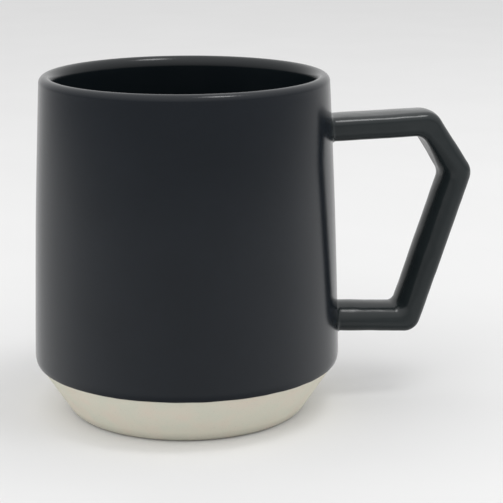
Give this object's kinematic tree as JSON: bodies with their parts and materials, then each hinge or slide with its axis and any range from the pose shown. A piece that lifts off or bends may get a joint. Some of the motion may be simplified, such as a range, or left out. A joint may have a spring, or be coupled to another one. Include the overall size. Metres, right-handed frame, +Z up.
{
  "type": "ceramic mug",
  "caption": "Stoneware mug with a dark satin glaze, a bare clay foot cone and an angular bar handle luted to the wall.",
  "frame": {"origin": "on the cup's axis, at the level of the surface that the foot ring stands on", "axes": "+Z up along the cup's axis, +X from the axis towards the handle"},
  "size_m": [0.1185, 0.0814, 0.09],
  "materials": {
    "bare_clay": "matte",
    "joint_slip": "matte",
    "outer_glaze": "satin",
    "inner_glaze": "satin",
    "handle_glaze": "satin"
  },
  "bodies": {
    "root": {"clay_cup": "bare_clay", "clay_handle": "bare_clay", "upper_joint_slip": "joint_slip", "lower_joint_slip": "joint_slip", "outer_glaze": "outer_glaze", "inner_glaze": "inner_glaze", "handle_glaze": "handle_glaze"}
  },
  "joints": []
}
